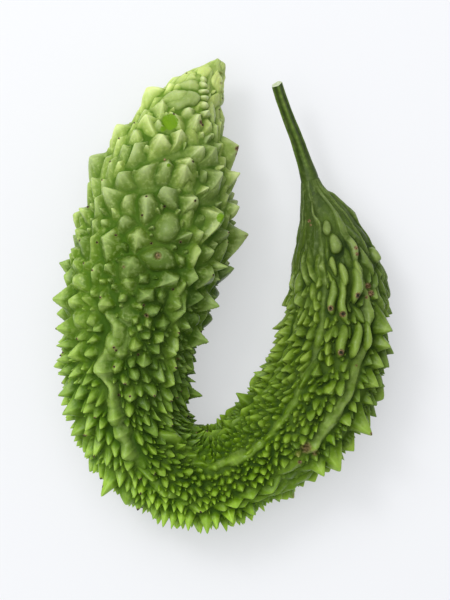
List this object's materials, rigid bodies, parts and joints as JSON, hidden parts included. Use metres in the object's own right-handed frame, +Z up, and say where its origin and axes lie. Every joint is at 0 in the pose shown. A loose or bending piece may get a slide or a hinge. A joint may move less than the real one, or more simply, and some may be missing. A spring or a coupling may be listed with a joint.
{
  "type": "bitter gourd",
  "caption": "Green bitter gourd as picked, curled into a U and lying on its side, with toothed ridges, pointed tubercles and its cut stem.",
  "frame": {"origin": "on the surface that the gourd lies on, under the middle of its outline seen from above", "axes": "+Z up; +Y from the bend of the U towards the fruit's tip and the stem's cut end; +X from the thick arm with the tip towards the thin arm with the stem"},
  "size_m": [0.1162, 0.1659, 0.0544],
  "materials": {
    "fruit_skin": "fresh green plant skin with a waxy half-gloss, paler on the crests and at the tip, darker in the furrows",
    "stem_skin": "dark green ribbed fresh stem, half-matt, with a pale cut end"
  },
  "bodies": {
    "root": {"fruit": "fruit_skin", "stem": "stem_skin"}
  },
  "joints": []
}
